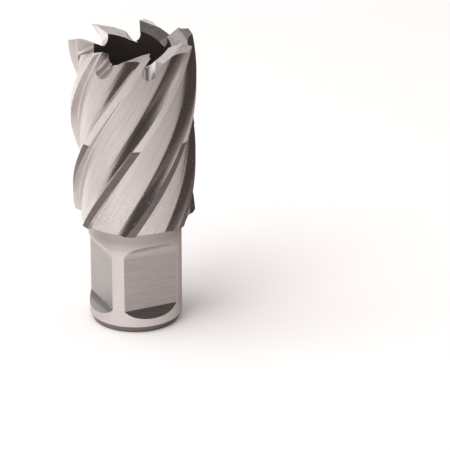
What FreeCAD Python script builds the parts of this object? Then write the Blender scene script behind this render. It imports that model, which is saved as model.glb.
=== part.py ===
import FreeCAD, Part
import math
import os

# Annular cutter in high speed steel: a hollow fluted head with seven ground teeth
# on a plain cylindrical shank that has two clamping flats. It is one piece.
# Millimetres. Z runs up the tool axis from the shank end to the teeth, and the
# origin is the centre of the shank end. The flats face -Y and -X.

# Shank
shank_diameter = 19.05
shank_length = 22.4
end_chamfer_height = 1.4
end_chamfer_depth = 0.65

# Clamping flats, one every quarter turn starting at -Y
flat_depth = 1.93
flat_bottom = 4.75
flat_top = 16.5
lower_runout = 1.7
lower_hollow = 0.2
upper_runout = 2.6
upper_hollow = 0.37
flat_count = 2
flat_angle = 90.0

# Fluted head: ground margins near the teeth, and the unground blank below them
head_diameter = 25.4
head_length = 37.77
ground_length = 19.25
back_taper = 0.145
blank_relief = 0.125
head_chamfer = 0.5

# Flutes, measured in the section at the outer tips
tooth_count = 7
first_tooth_angle = 5.2
flute_lead = 114.5
flute_depth = 1.8
margin_width = 1.55
back_width = 3.4
back_sink = 0.06
root_bevel = 0.35

# Hollow core and the bore for the pilot pin
core_diameter = 15.4
core_floor_thickness = 3.6
core_corner_bevel = 1.5
pilot_diameter = 6.35
pilot_clearance = 0.05
pilot_chamfer = 0.4

# Ground tooth tops: a crest inside the outer corner, and two relief facets
crest_inset = 2.07
crest_lead = 0.48
crest_rise = 0.34
crest_skew_angle = 5.0
relief_angle = 17.3
inner_bevel_angle = 20.8
outer_bevel_angle = 5.2

# Gashes ground through the web in front of each tooth
gash_radius = 1.6
gash_rake_angle = 25.9
gash_fall_angle = 32.5
gash_flare_angle = 12.0
gash_depth = 3.45

# Allowance by which cutting shapes run past the metal
over = 1.0

shank_radius = shank_diameter / 2
head_radius = head_diameter / 2
core_radius = core_diameter / 2
pilot_radius = (pilot_diameter + pilot_clearance) / 2
floor_radius = head_radius - flute_depth
sweep_radius = head_radius + over
tip_height = shank_length + head_length
top_height = tip_height + crest_rise
core_floor = shank_length + core_floor_thickness
tooth_pitch = 360.0 / tooth_count
AXIS = FreeCAD.Vector(0, 0, 1)
ORIGIN = FreeCAD.Vector(0, 0, 0)


def polar(radius, degrees, z=0.0):
    """A point given by its radius, its angle from +X and its height."""
    turn = math.radians(degrees)
    return FreeCAD.Vector(radius * math.cos(turn), radius * math.sin(turn), z)


def turned(outline):
    """A solid of revolution about Z from (radius, height) points."""
    points = [FreeCAD.Vector(radius, 0, z) for radius, z in outline]
    face = Part.Face(Part.makePolygon(points + points[:1]))
    return face.revolve(ORIGIN, AXIS, 360)


def prism(points, sweep):
    """A closed outline of straight runs, pushed along a vector."""
    return Part.Face(Part.makePolygon(points + points[:1])).extrude(sweep)


def arc_through(start, middle, end):
    return Part.Arc(start, middle, end).toShape()


def flute_section(z, turn):
    """A section with seven lobes, each running past the outer diameter.

    From each rake wall the outline goes down the bevelled root, passes under the flute
    floor and goes up the hollow back of the next lobe, whose arc starts a little below
    the floor, so that it meets the floor in a shallow corner.
    """
    root_turn = math.degrees(root_bevel / floor_radius)
    margin_turn = math.degrees(margin_width / head_radius)
    back_turn = math.degrees(back_width / head_radius)
    tangent_turn = tooth_pitch - margin_turn - back_turn

    cosine = math.cos(math.radians(back_turn))
    low_radius = floor_radius - back_sink
    back_radius = low_radius ** 2 + head_radius ** 2 - 2 * low_radius * head_radius * cosine
    back_radius = back_radius / (2 * (head_radius * cosine - low_radius))
    back_centre = low_radius + back_radius

    def back_turn_at(radius):
        """Angle past the tangent point at which the hollow back reaches a radius."""
        top = back_centre ** 2 + radius ** 2 - back_radius ** 2
        return math.degrees(math.acos(top / (2 * back_centre * radius)))

    under_radius = floor_radius - root_bevel
    middle_radius = (low_radius + sweep_radius) / 2
    edges = []
    for tooth in range(tooth_count):
        wall = turn + tooth * tooth_pitch
        tangent = wall + tangent_turn
        back_end = tangent + back_turn_at(sweep_radius)
        next_wall = wall + tooth_pitch
        points = [
            polar(sweep_radius, wall, z),
            polar(floor_radius + root_bevel, wall, z),
            polar(under_radius, wall + 2 * root_turn, z),
            polar(under_radius, tangent - root_turn, z),
            polar(low_radius, tangent, z),
            polar(sweep_radius, back_end, z),
            polar(sweep_radius, next_wall, z),
        ]
        under_middle = polar(under_radius, (wall + root_turn + tangent) / 2, z)
        back_middle = polar(middle_radius, tangent + back_turn_at(middle_radius), z)
        land_middle = polar(sweep_radius, (back_end + next_wall) / 2, z)
        edges.append(Part.LineSegment(points[0], points[1]).toShape())
        edges.append(Part.LineSegment(points[1], points[2]).toShape())
        edges.append(arc_through(points[2], under_middle, points[3]))
        edges.append(Part.LineSegment(points[3], points[4]).toShape())
        edges.append(arc_through(points[4], back_middle, points[5]))
        edges.append(arc_through(points[5], land_middle, points[6]))
    return Part.Wire(edges)


def fluted_head():
    """The lobed section carried up the axis with the twist of the flutes."""
    start = shank_length
    height = tip_height + over - start
    turn = first_tooth_angle - 360.0 * (tip_height - start) / flute_lead
    section = flute_section(start, turn)
    spine = Part.Wire(Part.LineSegment(FreeCAD.Vector(0, 0, start),
                                       FreeCAD.Vector(0, 0, start + height)).toShape())
    guide = Part.makeHelix(flute_lead, height, head_radius)
    guide.translate(FreeCAD.Vector(0, 0, start))
    sweep = Part.BRepOffsetAPI.MakePipeShell(spine)
    sweep.setAuxiliarySpine(guide, True, 0)
    sweep.add(section, False, False)
    sweep.build()
    sweep.makeSolid()
    return sweep.shape()


def flute_floor():
    """The plain cylinder whose wall shows between the lobes."""
    return Part.makeCylinder(floor_radius, head_length + 2 * over, FreeCAD.Vector(0, 0, shank_length))


def head_envelope():
    """Ground margins with their back taper, the unground blank and its lower chamfer."""
    ground_end = tip_height - ground_length
    ground_radius = head_radius - back_taper
    blank_radius = ground_radius - blank_relief
    top = tip_height + 2 * over
    return turned([
        (0, shank_length),
        (blank_radius - head_chamfer, shank_length),
        (blank_radius, shank_length + head_chamfer),
        (blank_radius, ground_end),
        (ground_radius, ground_end),
        (head_radius, tip_height),
        (head_radius, top),
        (0, top),
    ])


def shank():
    """The shank's wall is in three bands: below, beside and above the clamping flats.

    It is turned so that the seam of its wall lies at -Y, where the first flat is milled.
    """
    blank = turned([
        (0, 0),
        (shank_radius - end_chamfer_depth, 0),
        (shank_radius, end_chamfer_height),
        (shank_radius, flat_bottom),
        (shank_radius, flat_top),
        (shank_radius, shank_length),
        (0, shank_length),
    ])
    blank.rotate(ORIGIN, AXIS, -90)
    return blank


def clamping_flat():
    """The metal milled away at the -Y side: a flat whose ends run out in hollow arcs."""
    seat = -(shank_radius - flat_depth)
    surface = -shank_radius
    clear = surface - over
    low = flat_bottom - lower_runout
    high = flat_top + upper_runout

    def point(y, z):
        return FreeCAD.Vector(-shank_radius, y, z)

    def hollow_arc(start, end, hollow):
        """An arc whose middle lies this far inside the straight line between its ends."""
        inward = (end - start).cross(FreeCAD.Vector(1, 0, 0))
        inward.normalize()
        return arc_through(start, (start + end) / 2 + inward * hollow, end)

    edges = [
        Part.LineSegment(point(clear, low), point(surface, low)).toShape(),
        hollow_arc(point(surface, low), point(seat, flat_bottom), lower_hollow),
        Part.LineSegment(point(seat, flat_bottom), point(seat, flat_top)).toShape(),
        hollow_arc(point(seat, flat_top), point(surface, high), upper_hollow),
        Part.LineSegment(point(surface, high), point(clear, high)).toShape(),
        Part.LineSegment(point(clear, high), point(clear, low)).toShape(),
    ]
    return Part.Face(Part.Wire(edges)).extrude(FreeCAD.Vector(shank_diameter, 0, 0))


def core():
    """The cup that swallows the slug, with a bevelled corner at its floor."""
    top = tip_height + 2 * over
    return turned([
        (0, core_floor),
        (core_radius - core_corner_bevel, core_floor),
        (core_radius, core_floor + core_corner_bevel),
        (core_radius, top),
        (0, top),
    ])


def pilot_bore():
    wide = pilot_radius + pilot_chamfer
    return turned([
        (0, -over),
        (wide, -over),
        (wide, 0),
        (pilot_radius, pilot_chamfer),
        (pilot_radius, core_floor - pilot_chamfer),
        (wide, core_floor),
        (wide, core_floor + over),
        (0, core_floor + over),
    ])


# The gash and the tooth top below are drawn for a tooth whose outer corner lies on +X:
# X is radial there and Y points the way the tooth cuts.
crest_radius = head_radius - crest_inset
crest = FreeCAD.Vector(crest_radius, crest_lead, top_height)


def gash_frame():
    """Directions of the gash: along it, across it, and up its rake face."""
    rake = math.tan(math.radians(gash_rake_angle))
    fall = math.tan(math.radians(gash_fall_angle))
    along = FreeCAD.Vector(1, -rake * fall, -fall)
    along.normalize()
    across = FreeCAD.Vector(0, 1, -rake)
    across.normalize()
    up = along.cross(across)
    if up.z < 0:
        up = up * -1
    return along, across, up


def gash_axis_point():
    """Where the axis of the gash's round bottom passes under the crest."""
    along, across, up = gash_frame()
    return crest + across * gash_radius - up * (gash_depth * up.z)


def gash():
    """A slot with a round bottom that leans back under its rake face and flares ahead."""
    along, across, up = gash_frame()
    reach = head_diameter
    start = gash_axis_point() - along * crest_radius
    flare = math.radians(gash_flare_angle)
    side = across * gash_radius
    flank = start + side * math.cos(flare) - up * (gash_radius * math.sin(flare))
    flank_top = flank + (up + across * math.tan(flare)) * reach
    rake_top = start - side + up * reach
    edges = [
        Part.LineSegment(flank_top, flank).toShape(),
        arc_through(flank, start - up * gash_radius, start - side),
        Part.LineSegment(start - side, rake_top).toShape(),
        Part.LineSegment(rake_top, flank_top).toShape(),
    ]
    return Part.Face(Part.Wire(edges)).extrude(along * reach)


def slab(point, along, up, away):
    """A thick plate that starts at the plane through a point and grows along away."""
    reach = 2 * head_diameter
    corner = point - along * reach - up * reach
    far = corner + along * 2 * reach
    rise = up * 2 * reach
    return prism([corner, far, far + rise, corner + rise], away * reach)


def tooth_top():
    """What is ground off one tooth: all above its two facets, between two gashes.

    The facets meet in a ridge that falls away and turns inwards behind the crest.
    """
    skew = math.tan(math.radians(crest_skew_angle))
    ridge = FreeCAD.Vector(skew, 1, math.tan(math.radians(relief_angle)))
    inner = crest_radius * math.tan(math.radians(inner_bevel_angle))
    outer = head_radius * math.tan(math.radians(outer_bevel_angle))
    back = crest - ridge * head_radius
    lift = FreeCAD.Vector(0, 0, head_radius)
    outline = [
        back,
        back + FreeCAD.Vector(head_radius, 0, -outer),
        back + FreeCAD.Vector(head_radius, 0, 0) + lift,
        back + FreeCAD.Vector(-crest_radius, 0, 0) + lift,
        back + FreeCAD.Vector(-crest_radius, 0, -inner),
    ]
    block = prism(outline, ridge * 2 * head_radius)
    along, across, up = gash_frame()
    point = gash_axis_point()
    ahead = slab(point, along, up, across)
    behind = slab(point, along, up, across * -1)
    behind.rotate(ORIGIN, AXIS, -tooth_pitch)
    return block.cut(ahead).cut(behind)


def copies(tool):
    """The tool at every tooth."""
    shapes = []
    for tooth in range(tooth_count):
        shape = tool.copy()
        shape.rotate(ORIGIN, AXIS, first_tooth_angle + tooth * tooth_pitch)
        shapes.append(shape)
    return shapes


def annular_cutter():
    lobes = fluted_head().common(head_envelope())
    body = flute_floor().fuse(lobes).fuse(shank()).cut(core()).cut(pilot_bore())
    milled = clamping_flat()
    for flat in range(flat_count):
        side = milled.copy()
        side.rotate(ORIGIN, AXIS, -flat * flat_angle)
        body = body.cut(side)
    for tool in copies(gash()) + copies(tooth_top()):
        body = body.cut(tool)
    return body


os.makedirs("parts", exist_ok=True)
cutter = annular_cutter()
cutter.exportStep("parts/annular_cutter.step")
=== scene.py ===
import math

import bmesh
import bpy
import numpy as np
from mathutils import Matrix


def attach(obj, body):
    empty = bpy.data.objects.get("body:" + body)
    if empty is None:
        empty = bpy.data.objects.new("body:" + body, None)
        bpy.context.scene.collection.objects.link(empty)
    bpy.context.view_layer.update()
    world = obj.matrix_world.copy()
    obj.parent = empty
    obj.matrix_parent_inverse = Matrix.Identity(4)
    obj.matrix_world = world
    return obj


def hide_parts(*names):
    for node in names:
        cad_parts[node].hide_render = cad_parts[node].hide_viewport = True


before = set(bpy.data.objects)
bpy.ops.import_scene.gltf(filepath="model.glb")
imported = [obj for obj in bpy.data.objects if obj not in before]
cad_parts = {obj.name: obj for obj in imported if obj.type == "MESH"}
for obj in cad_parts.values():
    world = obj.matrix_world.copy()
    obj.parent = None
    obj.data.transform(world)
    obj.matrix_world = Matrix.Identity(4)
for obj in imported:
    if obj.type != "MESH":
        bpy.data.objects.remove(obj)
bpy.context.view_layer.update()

# The view
# A long lens looks down at the cutter, which stands on its shank end a little left of
# the middle of the picture. Angles are as the camera was held.
mm = 0.001
image_width = 450
focal_pixels = 2414.0
sensor_width = 36.0
camera_place = (-177.16 * mm, -417.36 * mm, 215.37 * mm)
camera_heading = math.radians(-25.326)
camera_tilt = math.radians(90 - 23.32)
camera_roll = math.radians(0.169)

camera_data = bpy.data.cameras.new("photo_camera")
camera_data.sensor_width = sensor_width
camera_data.lens = focal_pixels * sensor_width / image_width
camera = bpy.data.objects.new("photo_camera", camera_data)
camera.matrix_world = (
    Matrix.Translation(camera_place)
    @ Matrix.Rotation(camera_heading, 4, "Z")
    @ Matrix.Rotation(camera_tilt, 4, "X")
    @ Matrix.Rotation(camera_roll, 4, "Z")
)
bpy.context.scene.collection.objects.link(camera)
bpy.context.scene.camera = camera


# The clamping shank
# A ground cylinder with a turned chamfer at its end and two milled flats a quarter turn
# apart. It is one piece of steel with the head, and the pilot bore runs through both.
shank_radius = 9.525 * mm
shank_length = 22.4 * mm
end_chamfer_height = 1.4 * mm
end_chamfer_depth = 0.65 * mm
bore_radius = 3.2 * mm
bore_chamfer = 0.4 * mm
cup_floor = 26.0 * mm
flat_depth = 1.93 * mm
flat_bottom = 4.75 * mm
flat_top = 16.5 * mm
lower_runout = 1.7 * mm
lower_hollow = 0.2 * mm
upper_runout = 2.6 * mm
upper_hollow = 0.37 * mm
flat_turns = (0.0, -math.pi / 2)
overcut = 1.0 * mm
round_steps = 256
merge_distance = 0.0001 * mm
sharp_edge = math.radians(24)

# Heights in mm over which the colour passes into painted shade on the ring under the head,
# and into a painted reflection that lightens the flats' upper run-outs.
shaded_ring_heights = (17.0, 20.0)
painted_runout_light_heights = (16.0, 17.5)


class Value:
    """A number, colour or vector in a material. Arithmetic on it adds Math nodes."""

    def __init__(self, tree, socket=None):
        self.tree = tree
        self.socket = socket

    def node(self, kind, settings, inputs, output=0):
        """Adds a node: its settings first, then the values or links of its sockets."""
        made = self.tree.nodes.new(kind)
        for name, setting in settings.items():
            if name == "stops":
                for stop, (position, colour) in enumerate(setting):
                    if stop >= len(made.color_ramp.elements):
                        made.color_ramp.elements.new(position)
                    made.color_ramp.elements[stop].position = position
                    made.color_ramp.elements[stop].color = (*colour, 1)
            else:
                setattr(made, name, setting)
        for name, value in inputs.items():
            if isinstance(value, Value):
                self.tree.links.new(value.socket, made.inputs[name])
            else:
                made.inputs[name].default_value = value
        return Value(self.tree, made.outputs[output])

    def math(self, operation, *others):
        """One Math node, worked on this value and then on the others in their order."""
        values = dict(enumerate((self, *others)))
        return self.node("ShaderNodeMath", {"operation": operation}, values)

    def __add__(self, other):
        return self.math("ADD", other)

    def __radd__(self, other):
        return self.math("ADD", other)

    def __sub__(self, other):
        return self.math("SUBTRACT", other)

    def __rsub__(self, other):
        return (self * -1.0).math("ADD", other)

    def __mul__(self, other):
        return self.math("MULTIPLY", other)

    def __rmul__(self, other):
        return self.math("MULTIPLY", other)


def fade(value, start, end):
    """From 0 to 1 as the value goes from start to end, in a straight line and held outside."""
    inputs = {"Value": value, "From Min": start, "From Max": end}
    return value.node("ShaderNodeMapRange", {}, inputs)


def stronger(value, contrast):
    """The value with its distance from one half multiplied by the contrast."""
    return value * contrast - (contrast - 1) / 2


def mixed(share, first, second):
    """The first colour times what is left of the share, plus the second times the share."""
    factor, first_colour, second_colour, result = 0, 6, 7, 2
    settings = {"data_type": "RGBA", "clamp_factor": True}
    inputs = {factor: share, first_colour: first, second_colour: second}
    return share.node("ShaderNodeMix", settings, inputs, output=result)


def tint(value, dark, light, warmth=0.055):
    """The warm grey of tool steel between two brightnesses, by a value from 0 to 1.

    Green is lower than red by the warmth, and blue by a quarter more than that.
    """
    warm = np.array([1.0, 1 - warmth, 1 - 1.25 * warmth])
    return mixed(value, (*(dark * warm), 1), (*(light * warm), 1))


def joined(x, y, z):
    """Three numbers as one place."""
    return x.node("ShaderNodeCombineXYZ", {}, {0: x, 1: y, 2: z})


def axes_of(tree, coordinates):
    """The x, y and z of one kind of texture coordinate."""
    spot = Value(tree).node("ShaderNodeTexCoord", {}, {}, output=coordinates)
    return [spot.node("ShaderNodeSeparateXYZ", {}, {0: spot}, output=axis) for axis in "XYZ"]


def noise(place, scale=1.0, detail=2.0, roughness=0.5):
    """Smooth noise from 0 to 1 in space, each further octave half as wide and fainter."""
    inputs = {"Vector": place, "Scale": scale, "Detail": detail, "Roughness": roughness}
    return place.node("ShaderNodeTexNoise", {"noise_dimensions": "3D"}, inputs)


def steel(name, colour_of, roughness_of, bump_of, bump_height=0.01 * mm, metallic=1.0):
    """A steel finish. Each of the three functions takes the object's x, y, z in mm."""
    material = bpy.data.materials.new(name)
    material.use_nodes = True
    tree = material.node_tree
    shader = tree.nodes["Principled BSDF"]
    axes = [axis * (1 / mm) for axis in axes_of(tree, "Object")]
    shader.inputs["Metallic"].default_value = metallic
    tree.links.new(colour_of(*axes).socket, shader.inputs["Base Color"])
    tree.links.new(roughness_of(*axes).socket, shader.inputs["Roughness"])
    inputs = {"Height": bump_of(*axes), "Distance": bump_height}
    bump = Value(tree).node("ShaderNodeBump", {}, inputs)
    tree.links.new(bump.socket, shader.inputs["Normal"])
    return material


def turned_scratches(x, y, z):
    """Fine rings round the axis: noise that changes fast with height and slowly across."""
    return noise(joined(x * 0.05, y * 0.05, z * 3.0), detail=3.0, roughness=0.6)


def shank_colour(x, y, z):
    """Bright on the clamping length, and darker on the ring under the head: painted shade for
    the head's shadow there.
    """
    scratches = turned_scratches(x, y, z)
    bright = tint(scratches, dark=0.66, light=0.79)
    shaded_ring = tint(scratches, dark=0.38, light=0.50)
    return mixed(fade(z, *shaded_ring_heights), bright, shaded_ring)


def milled_lines(x, y, z):
    """Fine lines along each flat: the noise barely changes in x and y."""
    return noise(joined(x * 0.12, y * 0.12, z * 4.0), detail=4.0, roughness=0.65)


def flat_colour(x, y, z):
    """Grey with strong lines on the flats, and lighter on their upper run-outs by a painted
    reflection.
    """
    lines = milled_lines(x, y, z)
    flat = tint(stronger(lines, 1.6), dark=0.35, light=0.56)
    runout = tint(lines, dark=0.60, light=0.76)
    return mixed(fade(z, *painted_runout_light_heights), flat, runout)


ground_shank = steel(
    "ground_shank_steel",
    shank_colour,
    lambda x, y, z: 0.30 + turned_scratches(x, y, z) * 0.12,
    turned_scratches,
    bump_height=0.004 * mm,
)
chamfer_steel = steel(
    "turned_chamfer_steel",
    lambda x, y, z: tint(turned_scratches(x, y, z), dark=0.19, light=0.29, warmth=0.14),
    lambda x, y, z: 0.35 + turned_scratches(x, y, z) * 0.10,
    turned_scratches,
    bump_height=0.006 * mm,
)
milled_flat = steel(
    "milled_flat_steel",
    flat_colour,
    lambda x, y, z: 0.32 + milled_lines(x, y, z) * 0.15,
    milled_lines,
    bump_height=0.008 * mm,
)
bore_steel = steel(
    "bore_steel",
    lambda x, y, z: tint(turned_scratches(x, y, z), dark=0.26, light=0.42, warmth=0.12),
    lambda x, y, z: 0.45 + turned_scratches(x, y, z) * 0.10,
    turned_scratches,
)


def solid(name, points, faces, finishes, zones=None):
    """A closed mesh in the scene, its doubled points merged and its faces outwards.

    The zones give each face the number of its finish in the list.
    """
    mesh = bpy.data.meshes.new(name)
    mesh.from_pydata(np.asarray(points, float).reshape(-1, 3).tolist(), [], faces)
    for finish in finishes:
        mesh.materials.append(finish)
    if zones is not None:
        mesh.polygons.foreach_set("material_index", zones)
    work = bmesh.new()
    work.from_mesh(mesh)
    bmesh.ops.remove_doubles(work, verts=work.verts, dist=merge_distance)
    bmesh.ops.recalc_face_normals(work, faces=work.faces)
    work.to_mesh(mesh)
    work.free()
    made = bpy.data.objects.new(name, mesh)
    bpy.context.scene.collection.objects.link(made)
    return made


def grid_faces(rows, columns):
    """The quads of a grid whose columns close on themselves.

    A point's number is its row times the columns, plus its column.
    """
    row, column = np.meshgrid(np.arange(rows - 1), np.arange(columns), indexing="ij")
    below = row * columns
    above = below + columns
    after = (column + 1) % columns
    corners = [below + column, below + after, above + after, above + column]
    return np.stack(corners, axis=-1).reshape(-1, 4).tolist()


def turned(name, outline, finishes, zones=None):
    """A solid of revolution: each (radius, height) point goes round the axis in equal steps."""
    radius, height = np.array(outline).T
    angle = np.linspace(0, 2 * np.pi, round_steps, endpoint=False)
    x = radius[:, None] * np.cos(angle)
    y = radius[:, None] * np.sin(angle)
    z = np.repeat(height[:, None], round_steps, axis=1)
    if zones is not None:
        zones = np.repeat(zones, round_steps)
    faces = grid_faces(len(outline), round_steps)
    return solid(name, np.stack([x, y, z], axis=-1), faces, finishes, zones)


def prism(name, outline, sweep, finishes):
    """A closed outline of points pushed along a vector, with a face at each end."""
    outline = np.asarray(outline, float)
    count = len(outline)
    near_end = list(range(count))
    far_end = list(range(2 * count - 1, count - 1, -1))
    points = np.stack([outline, outline + np.asarray(sweep)])
    return solid(name, points, grid_faces(2, count) + [near_end, far_end], finishes)


def arc_through(start, middle, end, steps=16):
    """Points on the circle through three points of a plane, its centre equally far from all."""
    start, middle, end = (np.asarray(point, float) for point in (start, middle, end))
    sides = 2 * np.array([middle - start, end - start])
    squares = [middle @ middle - start @ start, end @ end - start @ start]
    centre = np.linalg.solve(sides, squares)
    angles = [math.atan2(*(point - centre)[::-1]) for point in (start, middle, end)]
    first, _, last = np.unwrap(angles)
    turn = np.linspace(first, last, steps + 1)
    return centre + np.hypot(*(start - centre)) * np.stack([np.cos(turn), np.sin(turn)], axis=-1)


def rotated(made, turn):
    """The object with its own points turned about the axis."""
    made.data.transform(Matrix.Rotation(turn, 4, "Z"))
    return made


def carve(body, tools):
    """Cuts the tools out of the body one by one. Each cut face keeps the finish of its tool."""
    for tool in tools:
        cut = body.modifiers.new("cut", "BOOLEAN")
        cut.operation = "DIFFERENCE"
        cut.solver = "EXACT"
        cut.material_mode = "TRANSFER"
        cut.object = tool
    evaluated = body.evaluated_get(bpy.context.evaluated_depsgraph_get())
    body.data = bpy.data.meshes.new_from_object(evaluated)
    body.modifiers.clear()
    for tool in tools:
        bpy.data.objects.remove(tool)


def shaded(body):
    """Smooth shading that stops at every sharp edge."""
    body.data.polygons.foreach_set("use_smooth", np.ones(len(body.data.polygons), bool))
    body.data.set_sharp_from_angle(angle=sharp_edge)


def pilot_bore():
    """The bore as a turned solid, wider at both of its ends by the chamfers there."""
    wide = bore_radius + bore_chamfer
    return turned("pilot_bore", [
        (0, -overcut),
        (wide, -overcut),
        (wide, 0),
        (bore_radius, bore_chamfer),
        (bore_radius, cup_floor - bore_chamfer),
        (wide, cup_floor),
        (wide, cup_floor + overcut),
        (0, cup_floor + overcut),
    ], [bore_steel])


def clamping_flat(turn):
    """The milled-away metal: a flat face whose two ends run out in hollow arcs."""
    seat = -(shank_radius - flat_depth)
    surface = -shank_radius
    clear = surface - overcut
    low = flat_bottom - lower_runout
    high = flat_top + upper_runout

    def hollow_arc(start, end, hollow):
        """The arc between two points whose middle lies inwards of their chord by the hollow."""
        chord = np.subtract(end, start)
        inward = np.array([chord[1], -chord[0]]) / np.hypot(*chord)
        return arc_through(start, np.add(start, end) / 2 + inward * hollow, end)

    lower = hollow_arc((surface, low), (seat, flat_bottom), lower_hollow)
    upper = hollow_arc((seat, flat_top), (surface, high), upper_hollow)
    outline = np.concatenate([[(clear, low)], lower, upper, [(clear, high)]])
    points = np.insert(outline, 0, -shank_radius, axis=1)
    milled = prism("clamping_flat", points, (2 * shank_radius, 0, 0), [milled_flat])
    return rotated(milled, turn)


shank = turned("clamping_shank", [
    (0, 0),
    (shank_radius - end_chamfer_depth, 0),
    (shank_radius, end_chamfer_height),
    (shank_radius, shank_length),
    (0, shank_length),
], [ground_shank, chamfer_steel], zones=[0, 1, 0, 0])
carve(shank, [clamping_flat(turn) for turn in flat_turns] + [pilot_bore()])
shaded(shank)
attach(shank, "root")
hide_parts("annular_cutter")


# The fluted head
# Seven helical flutes are milled in a blank. Near the teeth their lands are ground to
# size, below that they stay as turned. The teeth are ground last, on top of the web.
head_radius = 12.7 * mm
tip_height = 60.17 * mm
ground_end = 40.92 * mm
back_taper = 0.145 * mm
blank_relief = 0.125 * mm
head_chamfer = 0.5 * mm
tooth_count = 7
tooth_pitch = 2 * math.pi / tooth_count
first_tooth = math.radians(5.2)
flute_lead = 114.5 * mm
flute_depth = 1.8 * mm
margin_width = 1.55 * mm
back_width = 3.4 * mm
back_sink = 0.06 * mm
root_fillet = 0.35 * mm
core_radius = 7.7 * mm
core_corner = 1.5 * mm
floor_radius = head_radius - flute_depth

# How many points the lobed section has on each of its parts, and rows on each length.
fillet_points = 7
floor_points = 10
back_points = 15
land_points = 6
blank_rows = 48
ground_rows = 56

# Heights in mm: frost and specks fade in from the first down to the second. A speck is
# where a noise passes its two peak values, which drop a little further down the flute.
frost_heights = (36.0, 26.0)
frost_strength = 2.2
speck_heights = (50.0, 26.0)
speck_peaks = (0.83, 0.85)
speck_drop = 0.07


def along_flutes(x, y, z):
    """The place turned back by the flutes' twist, so a flute runs straight up in it."""
    turn = z * (2 * math.pi / (flute_lead / mm))
    cosine = turn.math("COSINE")
    sine = turn.math("SINE")
    return x * cosine + y * sine, y * cosine - x * sine


def flute_streaks(x, y, z):
    """Grinding streaks down the flutes: fine across, long along them."""
    u, v = along_flutes(x, y, z)
    return noise(joined(u * 4.0, v * 4.0, z * 0.12), detail=4.0, roughness=0.6)


def frost(x, y, z):
    """The grainy look low in the flutes, where the grinding wheel ran out: noise about 0."""
    grain = noise(joined(x, y, z), scale=2.6, detail=3.0, roughness=0.7)
    return (grain - 0.5) * fade(z, *frost_heights) * frost_strength


def specks(x, y, z):
    """Tiny bright chips in the oil on the hollow backs: the highest peaks of a noise."""
    grain = noise(joined(x, y, z), scale=2.4, detail=0.0)
    return fade(grain + fade(z, *speck_heights) * speck_drop, *speck_peaks)


def flute_tone(x, y, z):
    """How light the steel is in the flutes: strong streaks with the frost over them."""
    return stronger(flute_streaks(x, y, z), 1.8) + frost(x, y, z)


def back_colour(x, y, z):
    """The hollow backs, warmer under their film of oil, with the specks in it."""
    return tint(flute_tone(x, y, z) + specks(x, y, z), dark=0.54, light=0.76, warmth=0.10)


def blank_colour(x, y, z):
    """Dark steel as it was turned, with strong rings."""
    rings = stronger(turned_scratches(x, y, z), 1.6)
    return tint(rings, dark=0.17, light=0.29, warmth=0.09)


flute_floor_steel = steel(
    "flute_floor_steel",
    lambda x, y, z: tint(flute_tone(x, y, z), dark=0.58, light=0.82),
    lambda x, y, z: 0.24 + flute_streaks(x, y, z) * 0.12,
    lambda x, y, z: flute_streaks(x, y, z) + frost(x, y, z),
    bump_height=0.006 * mm,
)
flute_back_steel = steel(
    "flute_back_steel",
    back_colour,
    lambda x, y, z: 0.12 + flute_streaks(x, y, z) * 0.12 + specks(x, y, z) * 0.6,
    flute_streaks,
    bump_height=0.006 * mm,
)
margin_steel = steel(
    "ground_margin_steel",
    lambda x, y, z: tint(turned_scratches(x, y, z), dark=0.76, light=0.90),
    lambda x, y, z: 0.28 + turned_scratches(x, y, z) * 0.10,
    turned_scratches,
    bump_height=0.004 * mm,
)
blank_steel = steel(
    "turned_blank_steel",
    blank_colour,
    lambda x, y, z: 0.42 + turned_scratches(x, y, z) * 0.12,
    turned_scratches,
)


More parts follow.
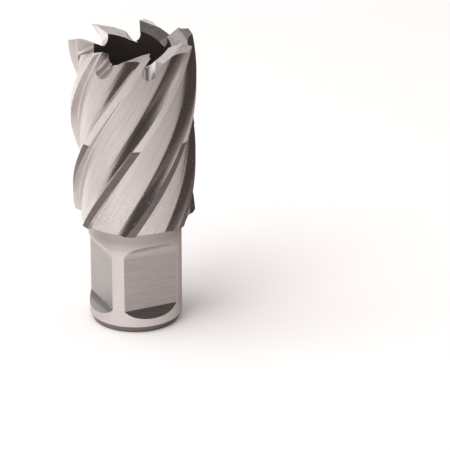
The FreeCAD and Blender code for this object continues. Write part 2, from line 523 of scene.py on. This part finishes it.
def fluted_head():
    """The lobed section, carried up the axis and turned by height over lead.

    From a rake wall the section goes through the root fillet, along the floor's circle and
    up the hollow back to the land. The back is an arc that starts a little below the floor.
    """
    blank_radius = head_radius - back_taper - blank_relief
    z = np.concatenate([
        [shank_length],
        np.linspace(shank_length + head_chamfer, ground_end, blank_rows),
        np.linspace(ground_end, tip_height, ground_rows),
        [tip_height + overcut],
    ])[:, None]
    outer = np.concatenate([
        [blank_radius - head_chamfer],
        np.full(blank_rows, blank_radius),
        np.linspace(head_radius - back_taper, head_radius, ground_rows),
        [head_radius],
    ])[:, None]

    # The hollow back's circle goes through its foot, a little below the floor, and through
    # the edge of the land. Its centre lies further out on the line from the axis to the foot.
    foot_turn = tooth_pitch - (margin_width + back_width) / head_radius
    foot_radius = floor_radius - back_sink
    cosine = math.cos(back_width / head_radius)
    back_radius = foot_radius ** 2 + head_radius ** 2 - 2 * foot_radius * head_radius * cosine
    back_radius = back_radius / (2 * (head_radius * cosine - foot_radius))
    back_centre = foot_radius + back_radius

    def bend_at(radius):
        """The angle about the back's centre where it reaches a radius, by the cosine rule."""
        top = back_centre ** 2 + back_radius ** 2 - radius ** 2
        return np.arccos(top / (2 * back_centre * back_radius))

    root_turn = math.asin(root_fillet / (floor_radius + root_fillet))
    share = np.linspace(0, 1, fillet_points)[None, :]
    arc = (np.pi / 2 + root_turn) * share
    fillet_x = (floor_radius + root_fillet) * np.cos(root_turn) - root_fillet * np.sin(arc)
    fillet_y = root_fillet * (1 - np.cos(arc))
    fillet_radius = np.hypot(fillet_x, fillet_y)
    fillet_angle = np.arctan2(fillet_y, fillet_x)

    first = bend_at(floor_radius)
    share = np.linspace(0, 1, back_points)[None, :]
    bend = first + (bend_at(outer) - first) * share
    back_x = back_centre - back_radius * np.cos(bend)
    back_y = back_radius * np.sin(bend)
    back_angle = foot_turn + np.arctan2(back_y, back_x)

    share = np.linspace(0, 1, floor_points + 2)[None, 1:-1]
    floor_angle = root_turn + (back_angle[:1, :1] - root_turn) * share

    share = np.linspace(0, 1, land_points + 2)[None, 1:-1]
    land_angle = back_angle[:, -1:] + (tooth_pitch - back_angle[:, -1:]) * share

    rows = len(z)
    full = np.ones((rows, 1))
    angle = np.concatenate([
        0 * full,
        fillet_angle * full,
        floor_angle * full,
        back_angle,
        land_angle,
    ], axis=1)
    radius = np.concatenate([
        outer,
        fillet_radius * full,
        floor_radius * np.ones((rows, floor_points)),
        np.hypot(back_x, back_y),
        outer * np.ones((rows, land_points)),
    ], axis=1)
    columns = angle.shape[1]
    teeth = np.repeat(np.arange(tooth_count), columns)[None, :]
    angle = np.tile(angle, tooth_count) + teeth * tooth_pitch
    angle = angle + first_tooth - 2 * np.pi * (tip_height - z) / flute_lead
    radius = np.tile(radius, tooth_count)
    height = z * np.ones_like(radius)
    points = np.stack([radius * np.cos(angle), radius * np.sin(angle), height], axis=-1)

    finishes = [flute_floor_steel, flute_back_steel, margin_steel, blank_steel]
    floor, back, land, as_turned = range(len(finishes))
    zone = [floor] * (1 + fillet_points + floor_points)
    zone += [back] * (back_points - 1) + [land] * (land_points + 1)
    zones = np.tile(zone, (rows - 1, tooth_count))
    zones[(z[:-1] < ground_end) & (zones == land)] = as_turned
    zones = zones.reshape(-1).tolist() + [as_turned, as_turned]

    all_columns = columns * tooth_count
    lowest_row = list(range(all_columns))
    highest_row = [(rows - 1) * all_columns + number for number in lowest_row]
    faces = grid_faces(rows, all_columns) + [lowest_row[::-1], highest_row]
    return solid("fluted_head", points, faces, finishes, zones)


def core():
    """The cup inside the head as a turned solid, with a quarter circle at its floor."""
    top = tip_height + 2 * overcut
    inset = core_corner * (1 - math.sin(math.pi / 4))
    corner = arc_through(
        (core_radius - core_corner, cup_floor),
        (core_radius - inset, cup_floor + inset),
        (core_radius, cup_floor + core_corner),
        steps=8,
    )
    outline = [(0, cup_floor), *corner, (core_radius, top), (0, top)]
    return turned("core", outline, [bore_steel])


head = fluted_head()


# The ground teeth
# Each tooth is ground with two relief facets that meet in a crest, and the web in front of
# it is gashed by a round-edged wheel that leans back under the tooth's rake face.
crest_inset = 2.07 * mm
crest_lead = 0.48 * mm
crest_rise = 0.34 * mm
crest_skew = math.tan(math.radians(5.0))
relief_slope = math.tan(math.radians(17.3))
inner_slope = math.tan(math.radians(20.8))
outer_slope = math.tan(math.radians(5.2))
gash_radius = 1.6 * mm
gash_rake = math.tan(math.radians(25.9))
gash_fall = math.tan(math.radians(32.5))
gash_flare = math.radians(12.0)
gash_depth = 3.45 * mm
gash_points = 25
stain_troughs = (0.46, 0.36)
stain_strength = 1.4
crest_radius = head_radius - crest_inset
crest = np.array([crest_radius, crest_lead, tip_height + crest_rise])


def grinding_lines(x, y, z):
    """Faint short lines left by the wheel: noise that changes more across than with height."""
    return noise(joined(x * 1.6, y * 1.6, z * 0.5), detail=3.0, roughness=0.6)


def stains(x, y, z):
    """A few dull stains where coolant dried: the lowest troughs of a slow noise."""
    cloud = noise(joined(x, y, z), scale=0.55, detail=3.0, roughness=0.6)
    return fade(cloud, *stain_troughs) * stain_strength


facet_steel = steel(
    "ground_facet_steel",
    lambda x, y, z: tint(grinding_lines(x, y, z) - stains(x, y, z), dark=0.56, light=0.78),
    lambda x, y, z: 0.26 + grinding_lines(x, y, z) * 0.12,
    grinding_lines,
    bump_height=0.004 * mm,
)
# Ground steel in the gashes, painted near white: a painted sheen that stands in for the bright
# reflections inside the scoops.
gash_painted_sheen_steel = steel(
    "gash_painted_sheen_steel",
    lambda x, y, z: tint(grinding_lines(x, y, z), dark=0.80, light=0.94),
    lambda x, y, z: 0.26 + grinding_lines(x, y, z) * 0.10,
    grinding_lines,
    bump_height=0.004 * mm,
    metallic=0.86,
)

# The gash's own directions: outwards along it, across it away from its tooth, and up out of it.
along = np.array([1, -gash_rake * gash_fall, -gash_fall])
along = along / np.linalg.norm(along)
across = np.array([0, 1, -gash_rake])
across = across / np.linalg.norm(across)
up = np.cross(along, across)
axis_point = crest + across * gash_radius - up * (gash_depth * up[2])


def gash(turn):
    """A slot with a full round bottom, drawn across its length and pushed along it.

    The flank away from the tooth leans out by the flare.
    """
    reach = 2 * head_radius
    start = axis_point - along * crest_radius
    bend = np.linspace(gash_flare, np.pi, gash_points)[:, None]
    bottom = start + gash_radius * (np.cos(bend) * across - np.sin(bend) * up)
    flank = up + across * np.tan(gash_flare)
    outline = np.concatenate([[bottom[0] + flank * reach], bottom, [bottom[-1] + up * reach]])
    return rotated(prism("gash", outline, along * reach, [gash_painted_sheen_steel]), turn)


def tooth_top(turn):
    """All that is ground off above the two facets, between this gash and the one behind.

    The facets' slopes are drawn across the crest and pushed along it, and a plane through
    each of the two gashes trims the block.
    """
    ridge = np.array([crest_skew, 1, relief_slope])
    back = crest - ridge * head_radius
    lift = np.array([0, 0, head_radius])
    outline = [
        back,
        back + np.array([head_radius, 0, -outer_slope * head_radius]),
        back + np.array([head_radius, 0, 0]) + lift,
        back + np.array([-crest_radius, 0, 0]) + lift,
        back + np.array([-crest_radius, 0, -inner_slope * crest_radius]),
    ]
    block = prism("tooth_top", outline, ridge * 2 * head_radius, [facet_steel])
    behind = np.array(Matrix.Rotation(-tooth_pitch, 3, "Z"))
    planes = [(axis_point, across), (behind @ axis_point, behind @ -across)]
    work = bmesh.new()
    work.from_mesh(block.data)
    for point, normal in planes:
        cut = bmesh.ops.bisect_plane(
            work,
            geom=work.verts[:] + work.edges[:] + work.faces[:],
            plane_co=point,
            plane_no=normal,
            clear_outer=True,
        )
        edges = [part for part in cut["geom_cut"] if isinstance(part, bmesh.types.BMEdge)]
        bmesh.ops.contextual_create(work, geom=edges)
    bmesh.ops.recalc_face_normals(work, faces=work.faces)
    work.to_mesh(block.data)
    work.free()
    return rotated(block, turn)


tooth_turns = [first_tooth + tooth * tooth_pitch for tooth in range(tooth_count)]
cuts = [core(), pilot_bore()]
cuts += [gash(turn) for turn in tooth_turns]
cuts += [tooth_top(turn) for turn in tooth_turns]
carve(head, cuts)
shaded(head)
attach(head, "root")
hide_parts("annular_cutter")


# The table and the light
# A pale matt table with no edge in view, and two large soft lamps that the steel doesn't
# mirror. Table and room are plain white to the camera, and a pattern of greys to the steel.
table_size = 6.0
table_white = (0.94, 0.93, 0.93, 1)
room_white = (0.97, 0.965, 0.96, 1)
fill_grey = (0.62, 0.58, 0.57, 1)
overhead_grey = (0.80, 0.77, 0.76, 1)

# Metres from the axis where the near table passes into the far one, and sines of the
# elevation where the wall passes into the ceiling and that into the patch overhead.
near_to_far = (0.155, 0.21)
wall_to_ceiling = (0.42, 0.58)
ceiling_to_overhead = (0.94, 0.98)

# What the steel mirrors, as (degrees from +X, grey). The greys were set one by one, until the
# steel came near to how light and dark it is in the photograph.
near_table_greys = [
    (-180, 0.8), (-150, 0.93), (-105, 0.86), (-60, 0.72), (-20, 0.6), (10, 0.42), (45, 0.3),
    (62, 0.7), (85, 0.8), (105, 1.0), (125, 1.0), (150, 0.8), (180, 0.8),
]
far_table_greys = [
    (-180, 0.4), (-150, 0.08), (48, 0.08), (62, 0.75), (160, 0.75), (180, 0.4),
]
wall_greys = [
    (-180, 0.08), (-138, 0.08), (-118, 0.2), (-95, 0.14), (-75, 0.08), (26, 0.07),
    (44, 1.0), (105, 1.0), (122, 0.1), (180, 0.08),
]
ceiling_greys = [
    (-180, 0.85), (-140, 0.8), (-118, 0.4), (-90, 0.2), (-60, 0.08), (48, 0.07), (58, 0.7),
    (76, 0.7), (86, 0.35), (97, 0.35), (106, 1.0), (165, 1.0), (180, 0.85),
]


def by_azimuth(x, y, greys):
    """A grey that changes round the upright axis. The darker it is, the warmer it is.

    The angle of (x, y) picks the place on the ramp. Green and blue are the grey times a
    share that rises with the grey itself.
    """
    share = y.math("ARCTAN2", x) * (0.5 / math.pi) + 0.5
    stops = [
        ((degrees + 180) / 360, (grey, grey * (0.85 + 0.13 * grey), grey * (0.79 + 0.18 * grey)))
        for degrees, grey in greys
    ]
    return share.node("ShaderNodeValToRGB", {"stops": stops}, {"Fac": share})


def seen_by(tree, rays):
    """1 for rays of one kind and 0 for all others."""
    return Value(tree).node("ShaderNodeLightPath", {}, {}, output=rays)


pale_table = bpy.data.materials.new("pale_table")
pale_table.use_nodes = True
tree = pale_table.node_tree
shader = tree.nodes["Principled BSDF"]
x, y, _ = axes_of(tree, "Object")
far = fade((x * x + y * y).math("SQRT"), *near_to_far)
mirrored = mixed(far, by_azimuth(x, y, near_table_greys), by_azimuth(x, y, far_table_greys))
table_colour = mixed(seen_by(tree, "Is Glossy Ray"), table_white, mirrored)
tree.links.new(table_colour.socket, shader.inputs["Base Color"])
shader.inputs["Roughness"].default_value = 0.9
shader.inputs["Specular IOR Level"].default_value = 0.1

half = table_size / 2
corners = [(-half, -half, 0), (half, -half, 0), (half, half, 0), (-half, half, 0)]
table_mesh = bpy.data.meshes.new("table")
table_mesh.from_pydata(corners, [], [(0, 1, 2, 3)])
table_mesh.materials.append(pale_table)
table = bpy.data.objects.new("table", table_mesh)
bpy.context.scene.collection.objects.link(table)


def soft_lamp(name, azimuth, elevation, distance, size, power):
    """A square area lamp aimed at the middle of the cutter. Azimuth 0 is the camera's side."""
    data = bpy.data.lights.new(name, "AREA")
    data.size = size
    data.energy = power
    lamp = bpy.data.objects.new(name, data)
    lamp.visible_glossy = False
    turn = camera_heading + math.radians(azimuth)
    lift = math.radians(elevation)
    lamp.matrix_world = (
        Matrix.Translation((0, 0, tip_height / 2))
        @ Matrix.Rotation(turn, 4, "Z")
        @ Matrix.Rotation(math.pi / 2 - lift, 4, "X")
        @ Matrix.Translation((0, 0, distance))
    )
    bpy.context.scene.collection.objects.link(lamp)


soft_lamp("key_lamp", azimuth=-70, elevation=60, distance=1.2, size=1.1, power=9.1)
soft_lamp("front_lamp", azimuth=-35, elevation=52, distance=1.2, size=0.6, power=2.9)

world = bpy.data.worlds.new("studio")
bpy.context.scene.world = world
world.use_nodes = True
tree = world.node_tree

# In the world these coordinates are the direction in which a ray looks.
x, y, z = axes_of(tree, "Generated")
wall = by_azimuth(x, y, wall_greys)
ceiling = by_azimuth(x, y, ceiling_greys)
mirrored = mixed(fade(z, *wall_to_ceiling), wall, ceiling)
mirrored = mixed(fade(z, *ceiling_to_overhead), mirrored, overhead_grey)
room = mixed(seen_by(tree, "Is Glossy Ray"), fill_grey, mirrored)
room = mixed(seen_by(tree, "Is Camera Ray"), room, room_white)
tree.links.new(room.socket, tree.nodes["Background"].inputs["Color"])

bpy.context.scene.view_settings.view_transform = "Standard"
